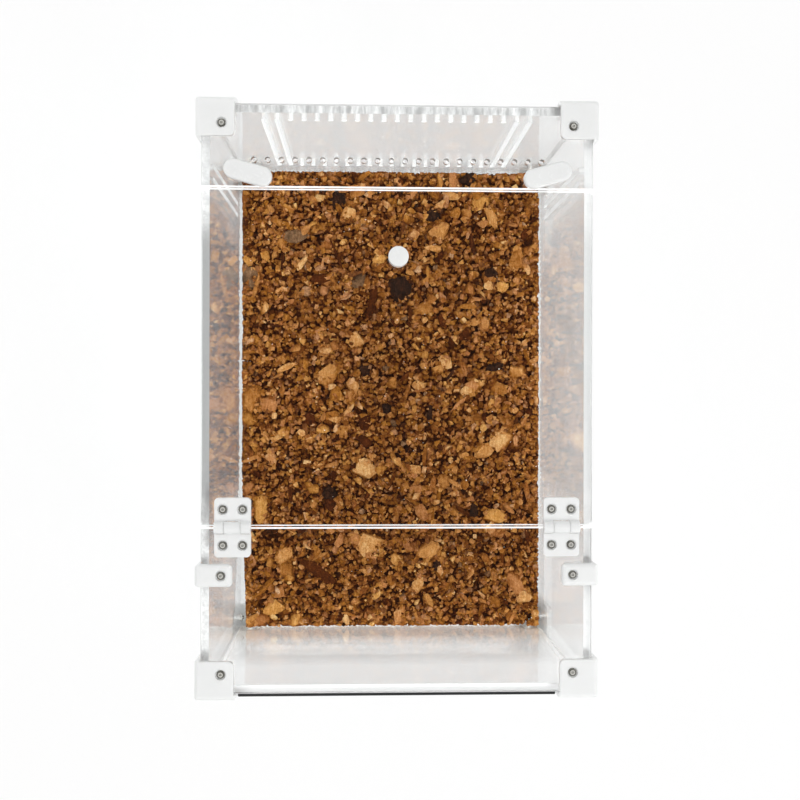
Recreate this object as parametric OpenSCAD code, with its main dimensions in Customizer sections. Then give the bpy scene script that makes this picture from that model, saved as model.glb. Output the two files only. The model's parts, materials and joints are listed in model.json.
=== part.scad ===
// Ant habitat: a clear acrylic box held by moulded corner caps, with a hinged door in its lid.
// Origin at the centre of the footprint, on the surface it stands on. +X right, +Y rear, +Z up.

/* [Box] */
// Width of the acrylic box
box_w = 200; // [150:5:300]
// Length of the acrylic box, front to rear
box_l = 300; // [260:5:400]
// Height of the acrylic box
box_h = 150; // [120:5:250]
// Thickness of every acrylic sheet
sheet_t = 4; // [3:0.5:5]

/* [Lid] */
// Length of the fixed strip at the rear of the lid
rear_strip_l = 42.1; // [40:0.1:55]
// Length of the fixed strip at the front of the lid
front_strip_l = 84.4; // [75:0.1:95]
// Gap between the door and each fixed strip
seam = 1; // [0.6:0.1:1.5]

/* [Vents] */
// Diameter of the round vents and width of the slots
vent_d = 2.8; // [2:0.1:4]
// Distance from vent to vent
vent_pitch = 7; // [6:0.5:9]
// Number of vents in the lid's row
lid_vents = 22; // [10:2:22]
// Distance of the lid's row from the rear edge
lid_vent_inset = 28.4; // [27:0.1:30]
// Number of columns in the rear wall, slots included
rear_columns = 21; // [9:2:21]
// Slots at each end of the rear wall's columns, and in each side wall
slots_each_side = 2; // [1:1:3]
// Distance of the side walls' last slot from the rear edge
side_slot_inset = 28.7; // [25:0.1:32]
// Depth of the upper row below the top of the lid
upper_row_depth = 18; // [16:0.1:35]
// Depth of the lower row below the top of the lid
lower_row_depth = 124; // [80:1:132]

/* [Corner caps and clips] */
// Wall of the moulded caps, clips and hinge leaves
cap_t = 2.8; // [2.6:0.1:3.2]
// Side of the square plate that a cap lays on each sheet
cap_plate = 17; // [16:0.5:18]
// Reach of a cap's edges, measured from the box's corner
cap_edge = 18.5; // [18:0.5:22]
// Rounding of the caps' and clips' outer edges
cap_r = 2.6; // [2:0.1:3]
// Distance of each screw from the edges of the sheets
screw_inset = 10.5; // [10:0.1:11.5]
// Width of a side clip
clip_w = 11.7; // [10:0.1:14]
// Length of a side clip's two wings
clip_plate = 16.2; // [15:0.1:18]
// Distance of the side clips in front of the front seam
clip_from_seam = 24.5; // [22:0.5:30]

/* [Hinges] */
// Width of a hinge along its pin
hinge_w = 18.3; // [17:0.1:20]
// Length of an open hinge across its pin
hinge_l = 30; // [28:0.5:34]
// Distance of each hinge's middle from the side of the box
hinge_inset = 16.5; // [16:0.5:24]
// Radius of the knuckles
knuckle_r = 3; // [2.8:0.1:3.2]
// Width of the middle knuckle, which belongs to the fixed leaf
knuckle_w = 8.2; // [7:0.1:9]
// Radius of the hinge pin
pin_r = 1; // [0.8:0.1:1.2]
// Distance between a leaf's two screws
leaf_screw_pitch = 10; // [9:0.1:10.5]
// Distance of the leaves' screws from the pin's axis
leaf_screw_reach = 9.1; // [8.5:0.1:9.6]

/* [Turn latches] */
// Length of a latch
latch_l = 25; // [22:0.5:27]
// Width of a latch
latch_w = 10; // [8:0.5:12]
// Thickness of a latch
latch_t = 4.2; // [3.5:0.1:5]
// Distance of the pivot from the latch's short end
latch_pivot = 6; // [5:0.5:7]
// Distance of the pivot from the side of the box
latch_inset = 17.5; // [15:0.5:25]
// Distance of the pivot from the rear edge
latch_from_rear = 34; // [34:0.5:37]
// Turn of the open latches away from straight across the seam
latch_open = 75; // [75:1:95]

/* [Knob] */
// Diameter of the knob
knob_d = 10.3; // [8:0.1:14]
// Height of the knob
knob_h = 7.5; // [6:0.5:10]
// Distance of the knob from the rear edge
knob_from_rear = 78; // [65:1:100]

/* [Fasteners] */
// Radius of the screws' shanks
shank_r = 1; // [0.8:0.1:1.2]
// Radius of the screws' heads
head_r = 2.05; // [1.9:0.05:2.3]
// Height of the screws' heads
head_h = 1.3; // [1:0.1:1.4]
// Length of a screw under its head
screw_l = 8; // [8:0.5:9]
// Width of a nut across its flats
nut_flats = 4; // [3.6:0.1:4.4]
// Height of a nut
nut_h = 1.6; // [1.4:0.1:1.8]

/* [Bed of chips] */
// Mean depth of the bed
bed_depth = 9.5; // [5:0.5:10]
// How far the bed's mounds rise and its hollows fall from the mean
bed_swell = 1.2; // [0.2:0.1:1.2]
// Distance between two mounds
bed_pitch = 19; // [16:1:40]

/* [Edge strip] */
// Thickness of the dark strip on the lid's front edge
strip_t = 1.2; // [0.8:0.1:1.6]
// Distance of the strip's ends from the sides of the box
strip_inset = 19; // [18.6:0.1:24]
// Radius of the strip's outer corners
strip_r = 0.6; // [0.2:0.1:0.8]

/* [Hidden] */
$fn = 48;

clear_acrylic = [0.84, 0.92, 0.94, 0.4];
milky = [0.94, 0.95, 0.94];
latch_white = [0.98, 0.98, 0.97];
steel = [0.62, 0.61, 0.57];
cork = [0.52, 0.33, 0.16];
rubber = [0.16, 0.16, 0.16];

eps = 0.01;
half_w = box_w / 2;
half_l = box_l / 2;
base_z = cap_t;
floor_z = base_z + sheet_t;
top_z = base_z + box_h;
lid_z = top_z - sheet_t;
wall_h = lid_z - floor_z;

rear_seam_y = half_l - rear_strip_l;
front_seam_y = front_strip_l - half_l;
door_rear_y = rear_seam_y - seam;
door_front_y = front_seam_y + seam;

pin_y = front_seam_y + seam / 2;
knuckle_gap = 0.1;
pin_z = top_z + knuckle_r + knuckle_gap;
knuckle_side_gap = 0.2;
knuckle_front_gap = 0.3;
pin_play = 0.06;
pin_seat = 0.02;
pin_l = hinge_w - 0.6;
leaf_r = 2;

hinge_x = half_w - hinge_inset;
clip_y = pin_y - clip_from_seam;
latch_x = half_w - latch_inset;
latch_y = half_l - latch_from_rear;
knob_y = half_l - knob_from_rear;

hole_r = shank_r + 0.1;
sink_r = 2.7;
sink_depth = 1.4;
washer_t = 0.5;
washer_r = 3;
latch_play = 0.05;

slot_top_z = top_z - upper_row_depth;
slot_foot_z = top_z - lower_row_depth;
slot_l = slot_top_z - slot_foot_z;

// ---- plain shapes ----

// Square with round corners, from a to b
module round_square(a, b, r) {
  translate([a[0] + r, a[1]]) square([b[0] - a[0] - 2 * r, b[1] - a[1]]);
  translate([a[0], a[1] + r]) square([b[0] - a[0], b[1] - a[1] - 2 * r]);
  for (x = [a[0] + r, b[0] - r], y = [a[1] + r, b[1] - r]) translate([x, y]) circle(r);
}

// Block from a to b with its edges rounded in all three directions
module round_block(a, b, r) {
  intersection() {
    translate([0, 0, a[2]]) linear_extrude(b[2] - a[2]) round_square([a[0], a[1]], [b[0], b[1]], r);
    translate([0, b[1], 0]) rotate([90, 0, 0])
      linear_extrude(b[1] - a[1]) round_square([a[0], a[2]], [b[0], b[2]], r);
    translate([a[0], 0, 0]) rotate([90, 0, 90])
      linear_extrude(b[0] - a[0]) round_square([a[1], a[2]], [b[1], b[2]], r);
  }
}

// Slot with round ends along Z, cut along Y and starting at y = 0
module slot_cut(depth) {
  rotate([-90, 0, 0]) translate([0, 0, -eps]) linear_extrude(depth + 2 * eps) {
    translate([-vent_d / 2, -slot_l]) square([vent_d, slot_l]);
    for (y = [0, -slot_l]) translate([0, y]) circle(d = vent_d);
  }
}

// Repeats its children to the left and to the right
module both_sides() {
  children();
  mirror([1, 0, 0]) children();
}

// The children stand at the rear right corner of the box's top; left, front and foot flip them
module at_corner(left, front, foot) {
  mirror([left ? 1 : 0, 0, 0]) mirror([0, front ? 1 : 0, 0])
    if (foot) translate([half_w, half_l, base_z]) mirror([0, 0, 1]) children();
    else translate([half_w, half_l, top_z]) children();
}

module at_every_corner() {
  for (left = [false, true], front = [false, true], foot = [false, true])
    at_corner(left, front, foot) children();
}

// Cycles its children over the three faces that meet in a corner
module each_face() {
  for (k = [0:2]) rotate(a = 120 * k, v = [1, 1, 1]) children();
}

// ---- fasteners, drawn about a sheet whose outer face is at z = 0 ----

// Clearance hole through cap and sheet
module screw_cut() {
  translate([0, 0, -sheet_t - 1]) cylinder(r = hole_r, h = sheet_t + cap_t + 2);
}

// The same with the sink for the head in the cap
module sunk_cut() {
  screw_cut();
  translate([0, 0, cap_t - sink_depth]) cylinder(r = sink_r, h = sink_depth + 1);
}

// Button-head screw with a hexagon socket, its head seated at z = 0
module screw(length) {
  socket_r = 0.75;
  socket_depth = 0.7;
  shoulder = head_h * 0.4;
  difference() {
    rotate_extrude() polygon([
      [0, -length], [shank_r - 0.2, -length], [shank_r, 0.2 - length], [shank_r, 0], [head_r, 0],
      [head_r, shoulder], [head_r * 0.86, head_h * 0.72], [head_r * 0.6, head_h * 0.94],
      [head_r * 0.4, head_h], [0, head_h]
    ]);
    translate([0, 0, head_h - socket_depth]) cylinder(r = socket_r, h = 1, $fn = 6);
  }
}

// Hexagon nut seated under a sheet
module nut() {
  translate([0, 0, -sheet_t - nut_h]) difference() {
    cylinder(d = nut_flats / cos(30), h = nut_h, $fn = 6);
    translate([0, 0, -1]) cylinder(r = shank_r + pin_seat, h = nut_h + 2);
  }
}

module seated_screw() {
  translate([0, 0, cap_t - sink_depth]) screw(screw_l);
}

// ---- where the screws go ----

// The three screws of a corner cap, in the corner's own frame
module corner_spots() {
  each_face() translate([-screw_inset, -screw_inset, 0]) children();
}

// The two screws of the right side clip
module clip_spots() {
  translate([half_w, clip_y, top_z]) {
    translate([-screw_inset, 0, 0]) children();
    translate([0, 0, -screw_inset]) rotate([0, 90, 0]) children();
  }
}

// The two screws of one leaf of the right hinge: side is 1 on the door, -1 on the fixed strip
module leaf_spots(side) {
  for (dx = [-0.5, 0.5])
    translate([hinge_x + dx * leaf_screw_pitch, pin_y + side * leaf_screw_reach, top_z]) children();
}

// ---- acrylic ----

module sheet(size, at) {
  color(clear_acrylic) difference() {
    translate(at) cube(size);
    at_every_corner() corner_spots() screw_cut();
    both_sides() clip_spots() screw_cut();
    children();
  }
}

module base_panel() {
  sheet([box_w, box_l, sheet_t], [-half_w, -half_l, base_z]);
}

module side_slots() {
  for (k = [0:slots_each_side - 1])
    translate([half_w - sheet_t, half_l - side_slot_inset - k * vent_pitch, slot_foot_z])
      rotate([0, 0, -90]) slot_cut(sheet_t);
}

module right_wall() {
  sheet([sheet_t, box_l, wall_h], [half_w - sheet_t, -half_l, floor_z]) side_slots();
}

module left_wall() {
  sheet([sheet_t, box_l, wall_h], [-half_w, -half_l, floor_z]) mirror([1, 0, 0]) side_slots();
}

module end_wall(y) {
  sheet([box_w - 2 * sheet_t, sheet_t, wall_h], [sheet_t - half_w, y, floor_z]) children();
}

module front_wall() {
  end_wall(-half_l);
}

// Slots at both ends of the columns, and a round vent at the top and foot of the others
module rear_vents() {
  for (k = [0:rear_columns - 1]) {
    x = (k - (rear_columns - 1) / 2) * vent_pitch;
    slotted = k < slots_each_side || k >= rear_columns - slots_each_side;
    translate([x, half_l - sheet_t, slot_foot_z])
      if (slotted) slot_cut(sheet_t);
      else for (z = [0, slot_l])
        translate([0, sheet_t + 1, z]) rotate([90, 0, 0]) cylinder(d = vent_d, h = sheet_t + 2);
  }
}

module rear_wall() {
  end_wall(half_l - sheet_t) rear_vents();
}

module lid_rear_strip() {
  sheet([box_w, rear_strip_l, sheet_t], [-half_w, rear_seam_y, lid_z]) {
    for (k = [0:lid_vents - 1])
      translate([(k - (lid_vents - 1) / 2) * vent_pitch, half_l - lid_vent_inset, lid_z - 1])
        cylinder(d = vent_d, h = sheet_t + 2);
    both_sides() translate([latch_x, latch_y, top_z]) screw_cut();
  }
}

module lid_front_strip() {
  sheet([box_w, front_strip_l, sheet_t], [-half_w, -half_l, lid_z])
    both_sides() leaf_spots(-1) screw_cut();
}

// Dark strip along the lid's front edge, between the front caps
module front_edge_strip() {
  x = half_w - strip_inset;
  color(rubber) translate([0, -half_l, lid_z]) linear_extrude(sheet_t) difference() {
    round_square([-x, -strip_t], [x, strip_t], strip_r);
    translate([-half_w, 0]) square([box_w, box_w]);
  }
}

module door_panel() {
  sheet([box_w, door_rear_y - door_front_y, sheet_t], [-half_w, door_front_y, lid_z]) {
    both_sides() leaf_spots(1) screw_cut();
    translate([0, knob_y, top_z]) screw_cut();
  }
}

// ---- moulded caps and clips ----

// Takes a plate's rim off beyond the square that lies on the sheet
module plate_trim() {
  difference() {
    translate([-cap_edge - 1, -cap_edge - 1, 0]) cube([cap_edge + 1, cap_edge + 1, cap_t + 1]);
    translate([0, 0, -1]) linear_extrude(cap_t + 3)
      round_square([-cap_plate, -cap_plate], [cap_r * 2, cap_r * 2], cap_r);
  }
}

// Three plates that meet in a corner: the sheets fill everything below zero on all three axes
module corner_cap() {
  color(milky) difference() {
    round_block([-cap_edge, -cap_edge, -cap_edge], [cap_t, cap_t, cap_t], cap_r);
    translate([-box_w, -box_w, -box_w]) cube(box_w);
    each_face() plate_trim();
    corner_spots() sunk_cut();
  }
}

// L-shaped clip over the edge of the lid's front strip and the wall below it
module side_clip() {
  color(milky) difference() {
    translate([half_w, clip_y, top_z])
      round_block([-clip_plate, -clip_w / 2, -clip_plate], [cap_t, clip_w / 2, cap_t], cap_r);
    translate([0, clip_y - clip_w, 0]) cube([half_w, clip_w * 2, top_z]);
    clip_spots() sunk_cut();
  }
}

// ---- hinges ----

module knuckle(width, x) {
  translate([x - width / 2, pin_y, pin_z]) rotate([0, 90, 0]) cylinder(r = knuckle_r, h = width);
}

// One plate of the right hinge, without its knuckles
module leaf_plate(side) {
  near = knuckle_r + knuckle_front_gap;
  far = hinge_l / 2;
  translate([hinge_x, pin_y, top_z]) mirror([0, side < 0 ? 1 : 0, 0]) linear_extrude(cap_t)
    difference() {
      round_square([-hinge_w / 2, near - leaf_r], [hinge_w / 2, far], leaf_r);
      translate([-hinge_w, near - hinge_l]) square([hinge_w * 2, hinge_l]);
    }
}

// Web that carries a knuckle on its plate
module knuckle_web(side, width, x) {
  reach = knuckle_r + knuckle_front_gap + eps;
  translate([x - width / 2, pin_y - (side < 0 ? reach : 0), top_z]) cube([width, reach, cap_t]);
}

module pin_cut(r) {
  translate([hinge_x - hinge_w, pin_y, pin_z]) rotate([0, 90, 0]) cylinder(r = r, h = hinge_w * 2);
}

module hinge_fixed() {
  color(milky) difference() {
    union() {
      leaf_plate(-1);
      knuckle_web(-1, knuckle_w, hinge_x);
      knuckle(knuckle_w, hinge_x);
    }
    pin_cut(pin_r + pin_seat);
    leaf_spots(-1) sunk_cut();
  }
}

module hinge_door() {
  outer_w = (hinge_w - knuckle_w) / 2 - knuckle_side_gap;
  color(milky) difference() {
    union() {
      leaf_plate(1);
      for (s = [-1, 1]) {
        x = hinge_x + s * (hinge_w - outer_w) / 2;
        knuckle_web(1, outer_w, x);
        knuckle(outer_w, x);
      }
    }
    pin_cut(pin_r + pin_play);
    leaf_spots(1) sunk_cut();
  }
}

module hinge_pin() {
  color(steel) translate([hinge_x - pin_l / 2, pin_y, pin_z]) rotate([0, 90, 0])
    cylinder(r = pin_r, h = pin_l);
}

// ---- turn latches ----

latch_bore = latch_t - 1;

// Half of the latch's cross-section, with a rounded top edge
module latch_half() {
  r = 1.6;
  square([latch_w / 2 - r, latch_t]);
  square([latch_w / 2, latch_t - r]);
  translate([latch_w / 2 - r, latch_t - r]) circle(r);
}

// Capsule that points to -Y from its pivot, its underside at z = 0
module latch_shape() {
  end_r = latch_w / 2;
  back = end_r - latch_pivot;
  tip = latch_pivot + end_r - latch_l;
  difference() {
    union() {
      for (y = [-back, tip]) translate([0, y, 0]) rotate_extrude() intersection() {
        latch_half();
        square([latch_w, latch_t]);
      }
      translate([0, -back, 0]) rotate([90, 0, 0]) linear_extrude(-back - tip) {
        latch_half();
        mirror([1, 0]) latch_half();
      }
    }
    translate([0, 0, -1]) cylinder(r = shank_r + pin_seat, h = latch_bore + 1);
  }
}

module latch() {
  color(latch_white) translate([latch_x, latch_y, top_z + washer_t + latch_play])
    rotate([0, 0, -latch_open]) latch_shape();
}

// Screw from under the strip, its end in the latch's blind hole
module latch_screw() {
  reach = sheet_t + washer_t + latch_bore;
  color(steel) translate([latch_x, latch_y, lid_z - latch_play]) rotate([180, 0, 0]) screw(reach);
}

module latch_washer() {
  color(latch_white) translate([latch_x, latch_y, top_z]) difference() {
    cylinder(r = washer_r, h = washer_t);
    translate([0, 0, -1]) cylinder(r = hole_r, h = washer_t + 2);
  }
}

// ---- knob ----

knob_bore = knob_h - 1.5;

// Turned knob with a narrower foot and a crowned top
module knob() {
  top_r = knob_d / 2;
  foot_r = top_r - 1;
  edge = 1.4;
  crown_r = knob_d * 1.6;
  color(latch_white) translate([0, knob_y, top_z]) difference() {
    intersection() {
      rotate_extrude() {
        square([foot_r, knob_h]);
        translate([0, 1.6]) square([top_r, knob_h - 1.6 - edge]);
        translate([0, knob_h - edge]) square([top_r - edge, edge]);
        translate([top_r - edge, knob_h - edge]) circle(edge);
      }
      translate([0, 0, knob_h - crown_r]) sphere(r = crown_r);
    }
    translate([0, 0, -1]) cylinder(r = shank_r + pin_seat, h = knob_bore + 1);
  }
}

module knob_screw() {
  color(steel) translate([0, knob_y, lid_z]) rotate([180, 0, 0]) screw(sheet_t + knob_bore - 0.5);
}

// ---- bed of chips ----

bed_play = 0.2;
bed_w = box_w - 2 * sheet_t - 2 * bed_play;
bed_l = box_l - 2 * sheet_t - 2 * bed_play;

// Height of the bed's section at its corner i: mounds and hollows take turns, no two of them alike
function bed_height(i, phase) =
  bed_depth + bed_swell * (i % 2 == 0 ? -1 : 1) * (0.75 + 0.25 * sin(i * 137 + phase));

// Outline of the bed's section: flat below, a row of mounds above
module bed_section(width, phase) {
  steps = 2 * round(width / bed_pitch);
  surface = [for (i = [steps:-1:0]) [width * (i / steps - 0.5), bed_height(i, phase)]];
  polygon(concat([[-width / 2, 0], [width / 2, 0]], surface));
}

// The loose surface is heaped both ways, and the bed leaves room at the nuts of the lower caps
module substrate() {
  room = 3;
  notch = screw_inset + room;
  color(cork) difference() {
    translate([0, 0, floor_z]) intersection() {
      translate([0, bed_l / 2, 0]) rotate([90, 0, 0]) linear_extrude(bed_l) bed_section(bed_w, 30);
      translate([-bed_w / 2, 0, 0]) rotate([90, 0, 90]) linear_extrude(bed_w) bed_section(bed_l, 75);
    }
    for (left = [false, true], front = [false, true]) at_corner(left, front, true)
      translate([-notch, -notch, -bed_depth * 3]) cube([notch + 1, notch + 1, bed_depth * 4]);
  }
}

// ---- fastener groups ----

module corner_screws() {
  color(steel) at_every_corner() corner_spots() seated_screw();
}

module corner_nuts() {
  color(steel) at_every_corner() corner_spots() nut();
}

module clip_screws() {
  color(steel) both_sides() clip_spots() seated_screw();
}

module clip_nuts() {
  color(steel) both_sides() clip_spots() nut();
}

module leaf_screws(side) {
  color(steel) both_sides() leaf_spots(side) seated_screw();
}

module leaf_nuts(side) {
  color(steel) both_sides() leaf_spots(side) nut();
}

// ---- the nodes ----

base_panel();
front_wall();
rear_wall();
left_wall();
right_wall();
lid_rear_strip();
lid_front_strip();
door_panel();
front_edge_strip();
at_corner(true, false, false) corner_cap();  // cap_top_rear_left
at_corner(false, false, false) corner_cap();  // cap_top_rear_right
at_corner(true, true, false) corner_cap();  // cap_top_front_left
at_corner(false, true, false) corner_cap();  // cap_top_front_right
at_corner(true, false, true) corner_cap();  // cap_foot_rear_left
at_corner(false, false, true) corner_cap();  // cap_foot_rear_right
at_corner(true, true, true) corner_cap();  // cap_foot_front_left
at_corner(false, true, true) corner_cap();  // cap_foot_front_right
mirror([1, 0, 0]) side_clip();  // side_clip_left
side_clip();  // side_clip_right
mirror([1, 0, 0]) hinge_fixed();  // hinge_fixed_left
hinge_fixed();  // hinge_fixed_right
mirror([1, 0, 0]) hinge_door();  // hinge_door_left
hinge_door();  // hinge_door_right
mirror([1, 0, 0]) hinge_pin();  // hinge_pin_left
hinge_pin();  // hinge_pin_right
mirror([1, 0, 0]) latch();  // latch_left
latch();  // latch_right
mirror([1, 0, 0]) latch_screw();  // latch_screw_left
latch_screw();  // latch_screw_right
mirror([1, 0, 0]) latch_washer();  // latch_washer_left
latch_washer();  // latch_washer_right
knob();
knob_screw();
corner_screws();
corner_nuts();
clip_screws();
clip_nuts();
leaf_screws(-1);  // hinge_fixed_screws
leaf_nuts(-1);  // hinge_fixed_nuts
leaf_screws(1);  // hinge_door_screws
leaf_nuts(1);  // hinge_door_nuts
substrate();
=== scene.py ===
import math
import random

import bmesh
import bpy
from mathutils import Euler, Matrix, Vector, noise
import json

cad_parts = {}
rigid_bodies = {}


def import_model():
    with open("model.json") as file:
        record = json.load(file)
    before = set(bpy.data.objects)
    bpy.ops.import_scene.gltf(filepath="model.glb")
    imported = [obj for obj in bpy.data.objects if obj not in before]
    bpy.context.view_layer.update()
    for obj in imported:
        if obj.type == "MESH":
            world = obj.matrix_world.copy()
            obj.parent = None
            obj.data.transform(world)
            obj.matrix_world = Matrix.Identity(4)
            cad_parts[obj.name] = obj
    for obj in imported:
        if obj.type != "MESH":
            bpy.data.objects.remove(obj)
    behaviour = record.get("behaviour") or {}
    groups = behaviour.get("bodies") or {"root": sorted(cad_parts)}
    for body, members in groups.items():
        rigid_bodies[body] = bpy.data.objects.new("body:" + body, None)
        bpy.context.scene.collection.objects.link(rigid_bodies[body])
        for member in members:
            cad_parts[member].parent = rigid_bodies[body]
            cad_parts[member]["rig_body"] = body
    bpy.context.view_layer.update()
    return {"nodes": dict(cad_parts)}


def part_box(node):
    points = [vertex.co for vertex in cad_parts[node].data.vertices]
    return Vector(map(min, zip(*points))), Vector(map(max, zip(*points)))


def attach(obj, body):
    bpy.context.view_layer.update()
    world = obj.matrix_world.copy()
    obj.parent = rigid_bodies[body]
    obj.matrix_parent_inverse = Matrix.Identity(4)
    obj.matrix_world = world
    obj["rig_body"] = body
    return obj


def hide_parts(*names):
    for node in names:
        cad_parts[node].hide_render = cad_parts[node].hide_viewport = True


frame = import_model()
nodes = frame["nodes"]
print("frame loaded:", len(nodes), "CAD nodes")


camera = {
    "place": (-0.0177, 0.0, 0.6890),
    "turn": (-0.001, -0.035, 0.002),
    "lens": 47.33,
    "sensor": 36.0,
    "clips": (0.01, 50.0),
}

stage = {
    "floorSide": 8.0,
    "floorGrid": 4,
    "floorDrop": 0.0002,  # under the feet
    "floorColour": (0.93, 0.93, 0.925, 1.0),
    "whiteShare": 0.84,  # how much of the floor's look is plain white
    "worldLight": 0.55,
    "ceiling": 0.035,  # its brightness in reflections
    "ceilingFrom": (0.70, 0.93),  # how far up a ray points where it dims
}

# place, aimed at, side of the square, power
lamps = {
    "keyLamp": ((1.05, -1.05, 1.45), (0.0, 0.0, 0.05), 0.6, 18.0),
    "fillLamp": ((-1.15, 0.95, 1.30), (0.0, 0.0, 0.05), 0.9, 11.0),
}

plainWhite = (1.0, 1.0, 1.0, 1.0)


def addObject(name, data):
    made = bpy.data.objects.new(name, data)
    bpy.context.scene.collection.objects.link(made)
    return made


def meshObject(name, bm):
    mesh = bpy.data.meshes.new(name)
    bm.to_mesh(mesh)
    bm.free()
    return addObject(name, mesh)


def addCamera(settings):
    data = bpy.data.cameras.new("viewCamera")
    data.lens = settings["lens"]
    data.sensor_width = settings["sensor"]
    data.clip_start, data.clip_end = settings["clips"]
    eye = addObject("viewCamera", data)
    eye.location = settings["place"]
    eye.rotation_euler = Euler(settings["turn"])
    bpy.context.scene.camera = eye


def addLamp(name, place, aim, side, power):
    data = bpy.data.lights.new(name, "AREA")
    data.shape = "SQUARE"
    data.size = side
    data.energy = power
    lamp = addObject(name, data)
    lamp.location = place
    lamp.rotation_euler = (Vector(aim) - Vector(place)).to_track_quat("-Z", "Y").to_euler()
    lamp.visible_glossy = False  # no lamp shows as a square in the sheets


def setInput(tree, socket, value):
    # a value that is another node's output is joined, and any other is set
    if isinstance(value, bpy.types.NodeSocket):
        tree.links.new(value, socket)
    else:
        socket.default_value = value


def addNode(tree, kind, values=None, **settings):
    # gives the new node's outputs
    made = tree.nodes.new("ShaderNode" + kind)
    for key, value in settings.items():
        setattr(made, key, value)
    for key, value in (values or {}).items():
        setInput(tree, made.inputs[key], value)
    return made.outputs


def newMaterial(name):
    material = bpy.data.materials.new(name)
    material.use_nodes = True
    material.node_tree.nodes.clear()
    return material, material.node_tree


def finishMaterial(tree, shader):
    addNode(tree, "OutputMaterial", {"Surface": shader})


def newGroup(name, values):
    # the kind of each input follows from its value
    group = bpy.data.node_groups.new(name, "ShaderNodeTree")
    for label, value in values.items():
        kind = "Float" if isinstance(value, float) else "Color" if len(value) == 4 else "Vector"
        socket = group.interface.new_socket(label, in_out="INPUT", socket_type="NodeSocket" + kind)
        socket.default_value = value
    return group, group.nodes.new("NodeGroupInput").outputs


def finishGroup(group, **values):
    for label in values:
        kind = "NodeSocketColor" if label in ("Colour", "Seam") else "NodeSocketFloat"
        group.interface.new_socket(label, in_out="OUTPUT", socket_type=kind)
    out = group.nodes.new("NodeGroupOutput")
    for label, value in values.items():
        setInput(group, out.inputs[label], value)
    return group


def useGroup(tree, group, values):
    made = tree.nodes.new("ShaderNodeGroup")
    made.node_tree = group
    for key, value in values.items():
        setInput(tree, made.inputs[key], value)
    return made.outputs


def ownPlace(tree):
    return addNode(tree, "TexCoord")["Object"]


def partsOf(tree, vector):
    return addNode(tree, "SeparateXYZ", {0: vector})


def maths(tree, operation, *values, clamp=False):
    return addNode(tree, "Math", dict(enumerate(values)), operation=operation, use_clamp=clamp)[0]


def blend(tree, share, first, second, **settings):
    made = addNode(tree, "Mix", {0: share, 6: first, 7: second}, data_type="RGBA", **settings)
    return made[2]


def blendValue(tree, share, first, second):
    return addNode(tree, "Mix", {0: share, 2: first, 3: second}, data_type="FLOAT")[0]


def between(tree, value, low, high, to=(0.0, 1.0), **settings):
    # how far the value is from low to high, spread over another range
    values = {"Value": value, "From Min": low, "From Max": high, "To Min": to[0], "To Max": to[1]}
    return addNode(tree, "MapRange", values, **settings)[0]


def grain(tree, place, scale, detail, rough=0.5, bend=0.0):
    values = {"Vector": place, "Scale": scale, "Detail": detail, "Roughness": rough,
              "Distortion": bend}
    return addNode(tree, "TexNoise", values)["Fac"]


def cells(tree, place, scale):
    return addNode(tree, "TexVoronoi", {"Vector": place, "Scale": scale})["Distance"]


def bumps(tree, height, depth, strength):
    values = {"Height": height, "Distance": depth, "Strength": strength}
    return addNode(tree, "Bump", values)["Normal"]


def ramp(tree, value, stops):
    made = tree.nodes.new("ShaderNodeValToRGB")
    elements = made.color_ramp.elements
    while len(elements) < len(stops):
        elements.new(0.5)
    for element, (position, colour) in zip(elements, stops):
        element.position = position
        element.color = (*colour, 1.0)
    tree.links.new(value, made.inputs["Fac"])
    return made.outputs["Color"]


def fromCentre(tree, place, along, centre):
    # distance along a direction, either way from a centre
    dot = addNode(tree, "VectorMath", {0: place, 1: along}, operation="DOT_PRODUCT")["Value"]
    return maths(tree, "ABSOLUTE", maths(tree, "SUBTRACT", dot, centre))


# noises here are scale, detail, roughness and bend, and shares the part of a noise that counts
marks = {
    "smears": (38.0, 5.0, 0.62, 0.6),
    "smearShares": (0.45, 0.8),
    "streaks": (1.0, 5.0, 0.7),
    "streakShares": (0.40, 0.62),
    "shading": (110.0, 4.0, 0.6),
    "shadingShares": (0.42, 0.75),
    "scuffs": (420.0, 6.0, 0.7, 1.2),
    "scuffShares": (0.5, 0.78),
    "skinDetail": 2.0,
    "flatFrom": (0.92, 0.97),  # how straight along an axis a flat face looks
}


def sheetGroup(settings):
    # a polished face of a sheet: faint smears, a warm tint near the bed that is a painted
    # reflection of the bed, and how far the face stands out
    group, given = newGroup("sheetFace", {
        "Clear": 0.01, "Smeared": 0.04, "Tint": plainWhite, "Dust": plainWhite,
        "Reflection From": 0.0, "Reflection To": 0.001, "Along": (0.0, 0.0, 0.0), "Centre": 0.0,
        "Fade From": 0.0, "Fade To": 1.0, "Least": 1.0})
    here = ownPlace(group)
    share = between(group, grain(group, here, *settings["smears"]), *settings["smearShares"])
    reflectionShare = between(group, partsOf(group, here)["Z"], given["Reflection From"], given["Reflection To"],
                    (1.0, 0.0), interpolation_type="SMOOTHSTEP")
    reach = fromCentre(group, here, given["Along"], given["Centre"])
    return finishGroup(
        group,
        Colour=blend(group, reflectionShare, given["Tint"], given["Dust"]),
        Roughness=blendValue(group, share, given["Clear"], given["Smeared"]),
        Alpha=between(group, reach, given["Fade From"], given["Fade To"], (1.0, given["Least"])))


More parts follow.
